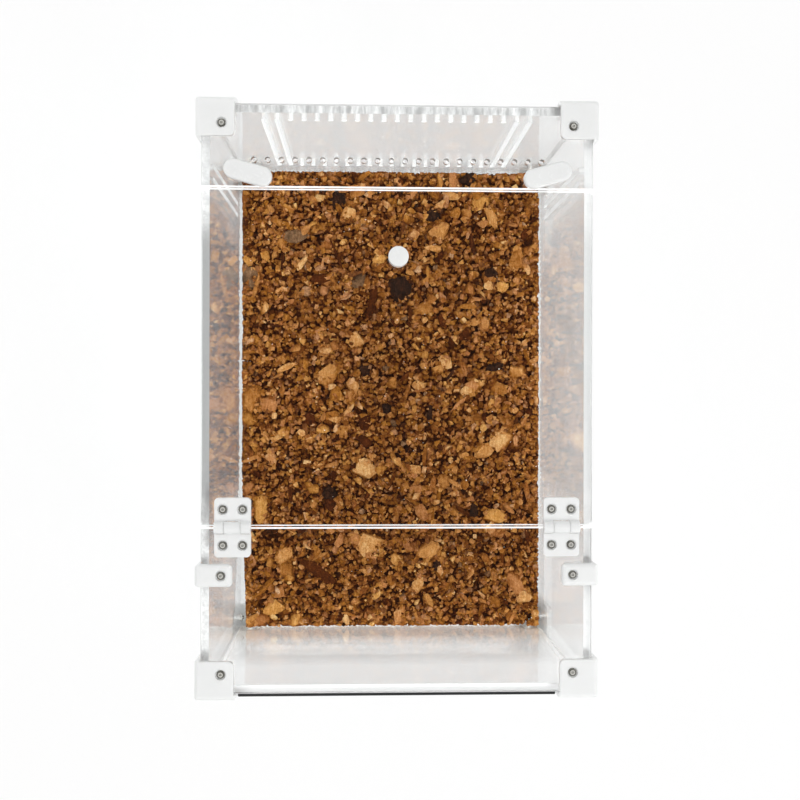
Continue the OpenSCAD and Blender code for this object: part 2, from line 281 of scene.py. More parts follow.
def sawMarkGroup(settings):
    # fine streaks that a saw leaves across the edge of a sheet, over a painted brightness that
    # changes towards the edge's ends
    group, given = newGroup("sawMarks", {
        "Colour": (0.9, 0.9, 0.9, 1.0), "Stain": (0.8, 0.8, 0.8, 1.0), "Stained": 0.4,
        "Smooth": 0.3, "Scuffed": 0.55, "Pitch": (300.0, 300.0, 60.0),
        "Ends": (0.9, 0.9, 0.9, 1.0), "Along": (0.0, 0.0, 0.0), "Centre": 0.0,
        "Ends From": 0.0, "Ends To": 1.0, "Seam Places": (1.0, 1.0, 0.0), "Seam Reach": 0.0015})
    here = ownPlace(group)
    reach = fromCentre(group, here, given["Along"], given["Centre"])
    # painted light: the edge turns to its Ends colour away from the centre
    ends = between(group, reach, given["Ends From"], given["Ends To"],
                   interpolation_type="SMOOTHSTEP")
    plain = blend(group, ends, given["Colour"], given["Ends"])
    # painted glow: an edge gives off light only where it lies in a seam
    along, places = partsOf(group, here)["Y"], partsOf(group, given["Seam Places"])
    near = [maths(group, "COMPARE", along, places[label], given["Seam Reach"])
            for label in ("X", "Y")]
    pitched = addNode(group, "Mapping", {"Vector": here, "Scale": given["Pitch"]})[0]
    streak = grain(group, pitched, *settings["streaks"])
    share = between(group, streak, *settings["streakShares"])
    amount = maths(group, "MULTIPLY", share, given["Stained"])
    return finishGroup(
        group,
        Colour=blend(group, amount, plain, given["Stain"]),
        Roughness=blendValue(group, share, given["Smooth"], given["Scuffed"]),
        Height=streak,
        Seam=maths(group, "MAXIMUM", *near))


def handledGroup(settings):
    # slow shading in the colour, a fine orange-peel skin and small scuffs
    group, given = newGroup("handled", {
        "Colour": (0.8, 0.8, 0.8, 1.0), "Stain": (0.6, 0.6, 0.55, 1.0), "Stained": 0.2,
        "Smooth": 0.3, "Scuffed": 0.5, "Grain": 1500.0})
    here = ownPlace(group)
    share = between(group, grain(group, here, *settings["shading"]), *settings["shadingShares"])
    amount = maths(group, "MULTIPLY", share, given["Stained"])
    scuffed = between(group, grain(group, here, *settings["scuffs"]), *settings["scuffShares"])
    return finishGroup(
        group,
        Colour=blend(group, amount, given["Colour"], given["Stain"]),
        Roughness=blendValue(group, scuffed, given["Smooth"], given["Scuffed"]),
        Height=grain(group, here, given["Grain"], settings["skinDetail"]))


def flatGroup(settings):
    # painted highlight: faces that look straight along an axis, as the flat tops and the floors of
    # sockets do, get the bright flat colour
    group, given = newGroup("flatFaces", {
        "Colour": (0.2, 0.2, 0.2, 1.0), "Flat Colour": (0.7, 0.7, 0.7, 1.0), "Flat Metal": 0.3})
    normal = addNode(group, "TexCoord")["Normal"]
    size = addNode(group, "VectorMath", {0: normal}, operation="ABSOLUTE")[0]
    parts = partsOf(group, size)
    largest = maths(group, "MAXIMUM", parts["X"], parts["Y"])
    largest = maths(group, "MAXIMUM", largest, parts["Z"])
    flat = between(group, largest, *settings["flatFrom"])
    return finishGroup(
        group,
        Colour=blend(group, flat, given["Colour"], given["Flat Colour"]),
        Metal=blendValue(group, flat, 1.0, given["Flat Metal"]))


woody = {
    "fine": (620.0, 4.0, 0.65),
    "coarse": (240.0, 2.0),
    "fibres": (1.0, 3.0, 0.6, 0.6),
    "fibreTurn": 0.45,
    "fibrePitch": (950.0, 170.0, 500.0),
    "toneNoise": 0.46,
    "toneMottle": 0.26,
    "toneFibre": 0.42,
    "brown": [(0.0, (0.018, 0.005, 0.001)), (0.28, (0.090, 0.020, 0.002)),
              (0.55, (0.28, 0.090, 0.018)), (0.80, (0.52, 0.218, 0.078)),
              (1.0, (0.76, 0.45, 0.21))],
    "amber": [(0.0, (0.024, 0.007, 0.001)), (0.28, (0.115, 0.029, 0.002)),
              (0.55, (0.35, 0.128, 0.016)), (0.80, (0.63, 0.30, 0.075)),
              (1.0, (0.84, 0.56, 0.23))],
    "grey": [(0.0, (0.016, 0.011, 0.008)), (0.28, (0.060, 0.038, 0.022)),
             (0.55, (0.19, 0.115, 0.060)), (0.80, (0.42, 0.27, 0.155)),
             (1.0, (0.66, 0.50, 0.34))],
    "pitScale": 1150.0,
    "pitReach": 0.35,
    "pitShade": (0.50, 1.0),
    "roughness": (0.72, 0.95),
    "fineRise": 0.6,
    "fibreRise": 0.9,
    "speckScale": 130.0,
    "speckSize": 0.05,
    "speck": (0.90, 0.86, 0.76, 1.0),
    "reliefDepth": 0.0006,
    "reliefStrength": 0.8,
    "ior": 1.42,
    "gloss": 0.15,
    # the core's dark tone is painted shade, seen in the gaps between the chips
    "coreTone": 0.12,
    "coreWarmth": 0.4,
}


def woodyGroup(settings):
    # colour and relief of broken cork and bark, from each chip's own tone and warmth
    group, given = newGroup("woodyBits", {"Tone": 0.5, "Warmth": 0.5})
    here = ownPlace(group)
    fine = grain(group, here, *settings["fine"])
    coarse = grain(group, here, *settings["coarse"])
    pits = cells(group, here, settings["pitScale"])
    # fibres that run one way, bent a little
    turned = addNode(group, "Mapping", {
        "Vector": here, "Rotation": (0.0, 0.0, settings["fibreTurn"]),
        "Scale": settings["fibrePitch"]})[0]
    fibres = grain(group, turned, *settings["fibres"])
    tone = given["Tone"]
    for source, label in ((fine, "toneNoise"), (coarse, "toneMottle"), (fibres, "toneFibre")):
        amount = settings[label]
        shift = maths(group, "MULTIPLY_ADD", source, amount, -0.5 * amount)
        tone = maths(group, "ADD", tone, shift, clamp=True)
    brown, amber, grey = (ramp(group, tone, settings[label])
                          for label in ("brown", "amber", "grey"))
    mixed = blend(group, given["Warmth"], brown, amber)
    # a warmth below zero is greyish
    greyness = maths(group, "MULTIPLY", given["Warmth"], -1.0, clamp=True)
    dulled = blend(group, greyness, mixed, grey)
    # the pits are darker, a painted shade
    pitted = between(group, pits, 0.0, settings["pitReach"], settings["pitShade"])
    shaded = blend(group, 1.0, dulled, pitted, blend_type="MULTIPLY")
    # a few small pale specks
    isSpeck = maths(group, "LESS_THAN", cells(group, here, settings["speckScale"]),
                    settings["speckSize"])
    rise = maths(group, "MULTIPLY_ADD", fine, settings["fineRise"], pits)
    return finishGroup(
        group,
        Colour=blend(group, isSpeck, shaded, settings["speck"]),
        Roughness=between(group, fine, 0.0, 1.0, settings["roughness"]),
        Height=maths(group, "MULTIPLY_ADD", fibres, settings["fibreRise"], rise))


def woodyMaterial(name, group, settings, loose):
    # loose bits have a tone, which carries their painted shade, and a warmth each, and the core one
    # of each
    material, tree = newMaterial(name)
    values = {"Tone": settings["coreTone"], "Warmth": settings["coreWarmth"]}
    if loose:
        values = {"Tone": addNode(tree, "Attribute", attribute_name="chipTone")["Fac"],
                  "Warmth": addNode(tree, "Attribute", attribute_name="chipWarmth")["Fac"]}
    look = useGroup(tree, group, values)
    relief = bumps(tree, look["Height"], settings["reliefDepth"], settings["reliefStrength"])
    finishMaterial(tree, addNode(tree, "BsdfPrincipled", {
        "Base Color": look["Colour"], "Roughness": look["Roughness"], "Normal": relief,
        "IOR": settings["ior"], "Specular IOR Level": settings["gloss"]})[0])
    return material


acrylic = {
    "tint": (0.985, 0.992, 0.99, 1.0),
    "ior": 1.49,
    "passes": (0.96, 0.97, 0.97, 1.0),  # what a sheet lets through to light what is behind it
    "gap": 0.00002,  # air between two sheets that touch
    "rim": 0.00012,
    "longEdge": 0.015,
    "merge": 1e-6,
    "facing": 0.9,
    "flatTurn": 0.6,  # in degrees, as are the next two
    "sharpTurn": 60,
    "shadedTurn": 30,
    "holeDepth": 0.0007,  # a cut face deeper inside a sheet than this is a hole's
}

sawn = {
    "smooth": 0.30,
    "scuffed": 0.55,
    "seeThrough": 0.18,
    "markDepth": 0.00005,
    "markStrength": 0.5,
    "edgePasses": (0.75, 0.76, 0.76, 1.0),
    "stained": 0.4,
    "stain": 0.90,  # share of the edge's own colour left in a streak
    "glow": 0.0,
    "pitch": (420.0, 420.0, 70.0),
    "ends": 0.93,
    "endsReach": (1.0, 2.0),
    "seams": (1.0, 1.0, 0.0),  # where along the box the edges with painted glow lie
}

# the walls of holes, by how they were cut; a glow above zero is painted light
holeWalls = {
    "drilled": {"colour": (0.96, 0.97, 0.97, 1.0), "roughness": 0.30, "seeThrough": 0.80,
                "glow": 0.0},
    "burnt": {"colour": (0.97, 0.98, 0.98, 1.0), "roughness": 0.40, "seeThrough": 0.35,
              "glow": 0.06},
}

holeMarks = {
    "turns": (2600.0, 3.0),
    "depth": 0.00003,
    "strength": 0.5,
    "passes": (0.93, 0.94, 0.94, 1.0),
}

# what a sheet has unless its own settings below say otherwise
anySheet = {
    "faces": "z",  # the axis that its flat faces look along
    "clear": 0.0,
    "smeared": 0.02,
    "passes": 1.0,
    "gloss": 0.0,
    "glossRough": 0.02,
    "arris": 0.00012,
    "edge": 0.93,
    "dust": plainWhite,
    "bedReflectionHeights": (0.0, 0.001),
    "fadeAlong": (0.0, 0.0, 0.0),
    "fadeCentre": 0.0,
    "fadeReach": (0.0, 1.0),
    "least": 1.0,
    "holes": "",  # which of the hole walls it has, or none
}

sideWall = {
    "faces": "x",
    "endsReach": (0.060, 0.080),
    "fadeAlong": (0.0, 1.0, 0.0),
    "fadeCentre": 0.0175,
    "fadeReach": (0.060, 0.100),
}

# each sheet's edge brightness and its lighter or darker ends are painted light and shade, set sheet
# by sheet
sheets = {
    "base_panel": {"clear": 0.01, "smeared": 0.05, "passes": 0.96, "edge": 0.90},
    "lid_rear_strip": {"arris": 0.0002, "edge": 0.92, "glow": 0.25, "ends": 0.72,
                       "endsReach": (0.140, 0.149), "fadeAlong": (0.0, 1.0, 0.0),
                       "holes": "drilled"},
    "lid_front_strip": {"arris": 0.00045, "edge": 0.92, "glow": 0.30, "holes": "drilled"},
    "door_panel": {"arris": 0.0003, "edge": 0.92, "glow": 0.28, "holes": "drilled"},
    "left_wall": {**sideWall, "clear": 0.01, "smeared": 0.08, "gloss": 0.8, "glossRough": 0.06,
                  "edge": 0.45, "least": 0.5},
    "right_wall": {**sideWall, "clear": 0.03, "smeared": 0.16, "passes": 0.90, "edge": 0.80,
                   "least": 0.30},
    # the front wall's warm tint low down is a painted reflection of the bed
    "front_wall": {"faces": "y", "clear": 0.03, "smeared": 0.14, "passes": 0.92, "edge": 0.98,
                   "glow": 0.22, "seams": (-0.148, -0.148, 0.0),
                   "dust": (0.84, 0.78, 0.72, 1.0), "bedReflectionHeights": (0.030, 0.065),
                   "fadeAlong": (0.0, 0.0, 1.0), "fadeReach": (0.035, 0.095), "least": 0.20},
    "rear_wall": {"faces": "y", "clear": 0.03, "smeared": 0.045, "passes": 0.92, "edge": 0.44,
                  "stained": 1.0, "stain": 2.1, "pitch": (210.0, 40.0, 60.0), "holes": "burnt",
                  "fadeAlong": (0.0, 0.0, 1.0), "fadeReach": (0.0, 0.03), "least": 0.36},
}


def camelName(name):
    words = name.split("_")
    return words[0] + "".join(word.capitalize() for word in words[1:])


def greyOf(value):
    return (value, value, value, 1.0)


def letLampsThrough(tree, values, colour):
    # rays from lamps pass straight through, as they nearly do in the real sheet
    fromLamp = addNode(tree, "LightPath")["Is Shadow Ray"]
    body = addNode(tree, "BsdfPrincipled", values)[0]
    clear = addNode(tree, "BsdfTransparent", {"Color": colour})[0]
    finishMaterial(tree, addNode(tree, "MixShader", {0: fromLamp, 1: body, 2: clear})[0])


def acrylicMaterial(name, faces, sheet, settings):
    material, tree = newMaterial(name)
    look = useGroup(tree, faces, {
        "Clear": sheet["clear"], "Smeared": sheet["smeared"], "Tint": settings["tint"],
        "Dust": sheet["dust"], "Reflection From": sheet["bedReflectionHeights"][0],
        "Reflection To": sheet["bedReflectionHeights"][1], "Along": sheet["fadeAlong"],
        "Centre": sheet["fadeCentre"], "Fade From": sheet["fadeReach"][0],
        "Fade To": sheet["fadeReach"][1], "Least": sheet["least"]})
    values = {"Base Color": settings["tint"], "Roughness": look["Roughness"],
              "IOR": settings["ior"], "Transmission Weight": sheet["passes"],
              "Coat Weight": sheet["gloss"], "Coat Roughness": sheet["glossRough"]}
    # the painted reflection of the bed goes into the base colour
    if sheet["dust"] != anySheet["dust"]:
        values["Base Color"] = look["Colour"]
    if sheet["least"] < 1.0:
        values["Alpha"] = look["Alpha"]
    letLampsThrough(tree, values, settings["passes"])
    return material


def sawnMaterial(name, sawMarks, sheet):
    settings = {**sawn, **sheet}
    material, tree = newMaterial(name)
    # the edge's grey is a painted shade that differs from sheet to sheet
    shade = settings["edge"]
    look = useGroup(tree, sawMarks, {
        "Colour": greyOf(shade), "Stain": greyOf(min(1.0, shade * settings["stain"])),
        "Stained": settings["stained"], "Smooth": settings["smooth"],
        "Scuffed": settings["scuffed"], "Pitch": settings["pitch"],
        "Ends": greyOf(settings["ends"]), "Along": settings["fadeAlong"],
        "Centre": settings["fadeCentre"], "Ends From": settings["endsReach"][0],
        "Ends To": settings["endsReach"][1], "Seam Places": settings["seams"]})
    values = {"Base Color": look["Colour"], "Roughness": look["Roughness"],
              "Normal": bumps(tree, look["Height"], settings["markDepth"],
                              settings["markStrength"]),
              "IOR": acrylic["ior"], "Transmission Weight": settings["seeThrough"],
              "Emission Strength": settings["glow"]}
    # the glow in the seams is painted light
    if settings["glow"] > 0:
        values["Emission Color"] = look["Seam"]
    letLampsThrough(tree, values, settings["edgePasses"])
    return material


def holeMaterial(name, settings):
    # the wall of a hole, with fine turning marks and, where it has a glow, a painted glow
    material, tree = newMaterial(name)
    turns = grain(tree, ownPlace(tree), *holeMarks["turns"])
    letLampsThrough(tree, {
        "Base Color": settings["colour"], "Roughness": settings["roughness"],
        "Normal": bumps(tree, turns, holeMarks["depth"], holeMarks["strength"]),
        "IOR": acrylic["ior"], "Transmission Weight": settings["seeThrough"],
        "Emission Color": settings["colour"], "Emission Strength": settings["glow"],
    }, holeMarks["passes"])
    return material


def dressSheet(name, sheet, looks, settings):
    # a merged copy of the sheet, with a fine arris on its edges and its cut faces matt
    bm = bmesh.new()
    bm.from_mesh(nodes[name].data)
    bmesh.ops.remove_doubles(bm, verts=bm.verts, dist=settings["merge"])
    bmesh.ops.dissolve_limit(bm, angle_limit=math.radians(settings["flatTurn"]),
                             verts=bm.verts, edges=bm.edges)
    # first the long straight edges, then the short ones and the rims of holes
    sharpTurn = math.radians(settings["sharpTurn"])
    for longest, width in ((True, sheet["arris"]), (False, settings["rim"])):
        sharp = [edge for edge in bm.edges
                 if edge.is_manifold and edge.calc_face_angle(0.0) > sharpTurn
                 and (edge.calc_length() > settings["longEdge"]) == longest]
        bmesh.ops.bevel(bm, geom=sharp, offset=width, offset_type="OFFSET", segments=1,
                        profile=0.5, affect="EDGES", material=-1, clamp_overlap=True)
    low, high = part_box(name)
    middle = (low + high) / 2
    shrink = [1.0 - 2 * settings["gap"] / (high[i] - low[i]) for i in range(3)]
    bmesh.ops.scale(bm, verts=bm.verts, vec=shrink, space=Matrix.Translation(-middle))
    bm.normal_update()
    through = "xyz".index(sheet["faces"])
    across = [i for i in range(3) if i != through]
    rounded = []
    for face in bm.faces:
        flat = abs(face.normal[through]) > settings["facing"]
        middle = face.calc_center_median()
        depth = min(min(middle[i] - low[i], high[i] - middle[i]) for i in across)
        inner = depth > settings["holeDepth"]
        rounded.append(inner and not flat)
        face.material_index = 0 if flat else 2 if inner and len(looks) > 2 else 1
    piece = meshObject(camelName(name), bm)
    piece.data.set_sharp_from_angle(angle=math.radians(settings["shadedTurn"]))
    piece.data.polygons.foreach_set("use_smooth", rounded)  # only the walls of holes
    for look in looks:
        piece.data.materials.append(look)
    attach(piece, nodes[name]["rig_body"])
    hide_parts(name)


# lift is a faint painted glow in the colour of the plastic; glow is the light it scatters under its
# skin
milky = {
    "colour": (0.95, 0.96, 0.95, 1.0),
    "stain": (0.88, 0.89, 0.865, 1.0),
    "stained": 0.35,
    "smooth": 0.30,
    "scuffed": 0.48,
    "grain": 1600.0,
    "seeThrough": 0.13,
    "lift": 0.03,
    "glow": 0.35,
    "glowReach": 0.004,
    "skinDepth": 0.00003,
    "skinStrength": 0.6,
}

# the lower caps get a stronger painted glow, which stands in for light from the floor below
milkyFoot = {**milky, "lift": 0.08}

white = {
    "colour": (0.86, 0.865, 0.86, 1.0),
    "stain": (0.79, 0.79, 0.765, 1.0),
    "stained": 0.3,
    "smooth": 0.22,
    "scuffed": 0.42,
    "grain": 1600.0,
    "seeThrough": 0.0,
    "lift": 0.0,
    "glow": 0.25,
    "glowReach": 0.003,
    "skinDepth": 0.00002,
    "skinStrength": 0.6,
}

glowRadius = (1.0, 1.0, 0.95)

# on steel and zinc the flat colour is a painted highlight on flat faces, against the darker colour
# of the rest
steel = {
    "colour": (0.20, 0.195, 0.175, 1.0),
    "stain": (0.11, 0.10, 0.08, 1.0),
    "stained": 0.6,
    "smooth": 0.18,
    "scuffed": 0.40,
    "grain": 2600.0,
    "flatColour": (0.74, 0.73, 0.68, 1.0),
    "flatMetal": 0.25,
    "skinDepth": 0.00002,
    "skinStrength": 0.5,
}

zinc = {
    "colour": (0.78, 0.78, 0.76, 1.0),
    "stain": (0.60, 0.59, 0.56, 1.0),
    "stained": 0.5,
    "smooth": 0.26,
    "scuffed": 0.45,
    "grain": 2600.0,
    "flatColour": (0.74, 0.74, 0.72, 1.0),
    "flatMetal": 0.6,
    "skinDepth": 0.00002,
    "skinStrength": 0.5,
}

# painted shade: a black strip along the front edge, where only a dark line of shade shows
shadeStrip = {
    "colour": (0.024, 0.025, 0.025, 1.0),
    "stain": (0.045, 0.045, 0.045, 1.0),
    "stained": 0.5,
    "smooth": 0.45,
    "scuffed": 0.75,
    "grain": 2200.0,
    "skinDepth": 0.00003,
    "skinStrength": 0.6,
}


def handledMaterial(name, handled, flats, settings):
    # moulded, plated or the black strip of painted shade, by which settings it has
    material, tree = newMaterial(name)
    look = useGroup(tree, handled, {
        label: settings[label.lower()]
        for label in ("Colour", "Stain", "Stained", "Smooth", "Scuffed", "Grain")})
    values = {"Base Color": look["Colour"], "Roughness": look["Roughness"],
              "Normal": bumps(tree, look["Height"], settings["skinDepth"],
                              settings["skinStrength"])}
    if "flatMetal" in settings:
        flat = useGroup(tree, flats, {
            "Colour": look["Colour"], "Flat Colour": settings["flatColour"],
            "Flat Metal": settings["flatMetal"]})
        values["Base Color"] = flat["Colour"]
        values["Metallic"] = flat["Metal"]
    if "seeThrough" in settings:
        # lift sets a painted glow: the part gives off light though it is no lamp
        values.update({
            "Transmission Weight": settings["seeThrough"], "Subsurface Weight": settings["glow"],
            "Subsurface Radius": glowRadius, "Subsurface Scale": settings["glowReach"],
            "Emission Color": settings["colour"], "Emission Strength": settings["lift"]})
    finishMaterial(tree, addNode(tree, "BsdfPrincipled", values)[0])
    return material


def seenDirectly(tree):
    # 1 for rays from the camera and for those that metal or clear plastic send on
    light = addNode(tree, "LightPath")
    seen = maths(tree, "MAXIMUM", light["Is Camera Ray"], light["Is Glossy Ray"])
    return maths(tree, "MAXIMUM", seen, light["Is Transmission Ray"])


def addFloor(settings):
    bm = bmesh.new()
    bmesh.ops.create_grid(bm, x_segments=settings["floorGrid"], y_segments=settings["floorGrid"],
                          size=settings["floorSide"] / 2)
    bmesh.ops.translate(bm, verts=bm.verts, vec=(0.0, 0.0, -settings["floorDrop"]))
    floor = meshObject("paleFloor", bm)
    material, tree = newMaterial("paleFloor")
    share = maths(tree, "MULTIPLY", seenDirectly(tree), settings["whiteShare"])
    paint = addNode(tree, "BsdfDiffuse", {"Color": settings["floorColour"]})[0]
    plain = addNode(tree, "Emission", {"Color": plainWhite, "Strength": 1.0})[0]
    finishMaterial(tree, addNode(tree, "MixShader", {0: share, 1: paint, 2: plain})[0])
    floor.data.materials.append(material)


def setWorld(settings):
    world = bpy.data.worlds.new("softRoom")
    bpy.context.scene.world = world
    world.use_nodes = True
    tree = world.node_tree
    tree.nodes.clear()
    # the ceiling is dim in reflections
    height = partsOf(tree, addNode(tree, "TexCoord")["Generated"])["Z"]
    dimmed = between(tree, height, *settings["ceilingFrom"], (1.0, settings["ceiling"]))
    reflected = addNode(tree, "LightPath")["Is Glossy Ray"]
    ceiling = blend(tree, reflected, plainWhite, dimmed)
    room = addNode(tree, "Background", {"Color": plainWhite, "Strength": settings["worldLight"]})[0]
    plain = addNode(tree, "Background", {"Color": ceiling, "Strength": 1.0})[0]
    mixed = addNode(tree, "MixShader", {0: seenDirectly(tree), 1: room, 2: plain})[0]
    addNode(tree, "OutputWorld", {"Surface": mixed})


bed = {
    "left": -0.0953,
    "right": 0.0955,
    "front": -0.1457,
    "rear": 0.1457,
    "ragged": 0.0008,  # how unevenly the bed ends short of the walls
    "raggedPitch": 60.0,
    "raggedSlice": 5.5,
    "leftTaper": 0.0030,  # how far the bed's left edge has drawn in at the front
    "taperFrom": -0.055,
    "taperOver": 0.09,
    "bottom": 0.0069,
    "highest": 0.0175,
    "scatter": 0.4,  # share of a step that a chip may lie off its grid
    "lit": -0.0002,  # above this over the local surface a chip keeps its whole colour, and lower down it gets painted shade
    "darkens": 0.0027,
    "darkest": 0.85,
    "buriedShade": 0.8,  # the tone left in chips below the surface layers, a painted shade
    "coreInset": 0.0046,
    "coreBottom": 0.0094,
    "coreBelow": 0.0024,
    "coreGrid": (60, 92),
    "coreBump": 0.0004,
    "coreBumpPitch": 260,
    "coreBumpSlice": 0.4,
}

# the nuts of the feet's screws, which stand inside the box
nuts = {
    "halfBox": (0.100, 0.150),
    "inset": 0.0105,  # of the screws, from each outer face
    "walls": (0.0950, 0.1450),
    "heights": (0.0078, 0.0133),
    "room": 0.0022,
    "roomShare": 0.7,  # of a chip's half size that counts as near a nut
    "clear": 0.00235,
}

# the heaped surface, as the solid bed has it: in mm, with the turns in degrees
heap = {
    "floor": 6.8,
    "depth": 9.5,
    "swell": 1.2,
    "even": 0.75,
    "uneven": 0.25,
    "unevenTurn": 137,
    "pitch": 19.0,
    "width": 191.6,
    "length": 291.6,
    "turns": (30.0, 75.0),
    "last": 1e-6,  # keeps a place at the far end within the last slope
}

# what a chip is cut from: its size, how far its corners move, and a rough form's lumps as
# height, pitch and whether the seed moves them
chipForms = {
    "cube": {"size": 1.7, "spread": (0.80, 1.12)},
    "ball": {"size": 1.05, "spread": (0.86, 1.08), "rounds": 2},
    "rough": {"size": 1.05, "spread": (0.97, 1.03), "rounds": 4,
              "lumps": ((0.20, 2.2, 1), (0.12, 5.0, 0), (0.07, 13.0, 0))},
}
chipCuts = (0.52, 0.86)  # how far from a chip's centre its broken faces lie

# how many shapes a chip can have, its half sizes, how many broken faces and how far it leans
chipKinds = {
    "granule": {"shapes": 12, "half": (0.00100, 0.00200), "flat": (0.65, 1.05),
                "long": (1.0, 1.5), "cuts": 3, "lean": 1.2, "start": "cube"},
    "crumb": {"shapes": 6, "half": (0.00050, 0.00095), "flat": (0.65, 1.0),
              "long": (1.0, 1.4), "cuts": 2, "lean": 1.2, "start": "cube"},
    "chunk": {"shapes": 14, "half": (0.0021, 0.0052), "flat": (0.36, 0.58),
              "long": (1.0, 1.4), "cuts": 7, "lean": 1.2, "start": "ball"},
    "bark": {"shapes": 6, "half": (0.0012, 0.0021), "flat": (0.45, 0.7),
             "long": (3.0, 5.5), "cuts": 5, "lean": 0.35, "start": "ball"},
}
leanShare = 0.6  # how much less a chip leans across than along
anyTurn = (0, 6.283)
seedStep = 100  # between the seeds of two layers' shapes

# the layers, from the floor of the box up
chipLayers = {
    "chipsFloor": {"kind": "granule", "step": 0.0036, "level": "floor",
                   "rise": (0.0006, 0.0018), "seed": 11},
    "chipsRim": {"kind": "granule", "step": 0.0030, "level": "rim", "shift": 0.0008,
                 "depths": (0.0015, 0.0040), "heights": (0.0085, 0.0108, 0.0130), "seed": 12},
    "chipsSurface": {"kind": "granule", "step": 0.0030, "level": "surface",
                     "rise": (-0.0030, -0.0016), "seed": 13},
    "chipsLoose": {"kind": "granule", "count": 5200, "level": "surface",
                   "rise": (-0.0018, -0.0002), "seed": 14},
    "crumbsLoose": {"kind": "crumb", "count": 6400, "level": "surface",
                    "rise": (-0.0015, 0.0003), "seed": 15},
    "chunksLoose": {"kind": "chunk", "count": 430, "level": "surface",
                    "rise": (-0.0012, 0.0004), "seed": 16},
    "barkLoose": {"kind": "bark", "count": 70, "level": "surface",
                  "rise": (-0.0008, 0.0004), "seed": 17},
}

# how tone and warmth vary from chip to chip
chipTones = {
    "gatherPitch": 95.0,
    "gatherSlice": 9.1,
    "tone": 0.60,
    "gathered": 0.14,
    "toneSpread": 0.13,
    "warmth": 0.44,
    "warmthSpread": 0.40,
    "coldest": -0.7,
    "bark": (0.14, 0.25, 0.40, 0.55, 0.70, 0.78),
    "chunk": (0.20, 0.50, 0.56, 0.60, 0.64, 0.68, 0.72, 0.76, 0.80, 0.86),
    "pickSpread": 0.04,
    "darkChunk": 0.3,  # a chunk darker than this has no warmth
    "charredShare": 0.025,
    "charred": (0.04, 0.18),
}

# the large chips by their look: place across and along, half length, half width, all in mm,
# and turn in degrees
largeChips = {
    "charred": {"tone": 0.05, "warmth": -0.4, "chips": [
        (-34, 126, 8, 5.5, 80), (5, 70, 9, 7.8, 70), (49, 142, 5.8, 4, 20),
        (26, 117, 4.2, 3.8, 0), (64, 80, 3.8, 3.4, 0), (-17, 18, 4, 3.2, 20), (-3, -6, 3.2, 3, 0),
        (66, 21, 5.3, 2.8, 5), (25, -10, 7, 1.5, 88), (-39, -61, 5.2, 4.6, 60),
        (30, -106, 3.9, 3.4, 0), (53, -71, 4, 3.2, 80)]},
    "darkBark": {"tone": 0.22, "warmth": 0.15, "chips": [
        (-45, 76, 5.5, 2.9, 0), (-12, 62, 11, 3, 80), (-35, 92, 9.5, 0.9, -66),
        (47, 40, 4.5, 3.6, 40), (-46, -110, 19, 3.1, -39)]},
    "greyBrown": {"tone": 0.52, "warmth": -0.8, "chips": [
        (-92, 76, 6.6, 5.2, 80), (-20, 77, 6.2, 5, 30), (-61, 103, 8, 4.6, 10)]},
    "brown": {"tone": 0.62, "warmth": 0.6, "chips": [
        (80, 91, 7, 4.6, 75), (21, 58, 6, 3.9, 5), (-90, 0, 8, 5.6, 80), (67, 7, 7, 4, -10),
        (-66, -111, 5.8, 5.4, 0)]},
    "pinkish": {"tone": 0.72, "warmth": 0.1, "chips": [
        (40, 141, 5, 4.2, 20), (-78, -4, 4.8, 4.4, 0), (-82, -140, 5.6, 4.4, 20),
        (21, -73, 5.6, 4, -60), (80, -117, 8.2, 5.6, -65)]},
    "orange": {"tone": 0.76, "warmth": 1.0, "chips": [
        (-8, 90, 3.9, 3.6, 0), (-92, 88, 3.6, 3, 60), (57, 126, 6, 4.8, 25),
        (71, 72, 3.9, 2.9, -10), (-84, -71, 9, 5.2, 80), (-75, -133, 7, 4.4, 10),
        (67, -76, 6.6, 4.5, 0)]},
    "tan": {"tone": 0.78, "warmth": 0.6, "chips": [
        (31, 108, 8, 5.4, -15), (64, 116, 6.4, 2.9, -65), (38, 130, 5.4, 2.1, -6),
        (29, 96, 6.8, 1.9, -4), (-39, 16, 9, 7.6, -30), (-66, 20, 5.6, 1.9, 25),
        (82, 18, 5.6, 4.3, 10), (60, -34, 6, 4.5, 20), (-67, -100, 6, 5, 60),
        (23, -96, 7.2, 5.2, 10)]},
    "pale": {"tone": 0.86, "warmth": 0.55, "chips": [
        (-26, 119, 4.8, 4, 10), (-56, 88, 6, 2, 60), (63, 73, 3.1, 2.8, 0),
        (-22, 38, 5.2, 4.6, 30), (-17, -46, 7, 6.6, 0), (36, 23, 5.3, 3.8, -60),
        (72, -26, 7.7, 7, 60), (16, -45, 4.1, 3.6, 0), (-13, -92, 8.6, 7.2, 60),
        (18, -119, 5, 3.4, 70), (86, -128, 4.6, 4, 20)]},
}

largeChip = {
    "shapes": 14,
    "cuts": 6,
    "start": "rough",
    "flat": 0.42,  # half thickness for each half width
    "thickest": 0.0026,
    "rise": 0.0011,  # how far its top stands over the local surface
    "size": 1.08,
    "lean": 0.08,
    "toneSpread": 0.015,
    "darkest": 0.02,
    "clearShare": 0.86,  # of its outline that loose chips keep off
    "seed": 31,
}


def heapHeight(place, length, turn):
    steps = 2 * round(length / heap["pitch"])
    reach = min(steps - heap["last"], max(0.0, (place / length + 0.5) * steps))
    heights = []
    for corner in (int(reach), int(reach) + 1):
        way = 1 if corner % 2 else -1
        lift = heap["even"] + heap["uneven"] * math.sin(
            math.radians(corner * heap["unevenTurn"] + turn))
        heights.append(heap["depth"] + heap["swell"] * way * lift)
    return heights[0] + (reach - int(reach)) * (heights[1] - heights[0])


def surfaceAt(x, y):
    across = heapHeight(x * 1000, heap["width"], heap["turns"][0])
    along = heapHeight(y * 1000, heap["length"], heap["turns"][1])
    return (heap["floor"] + min(across, along)) / 1000


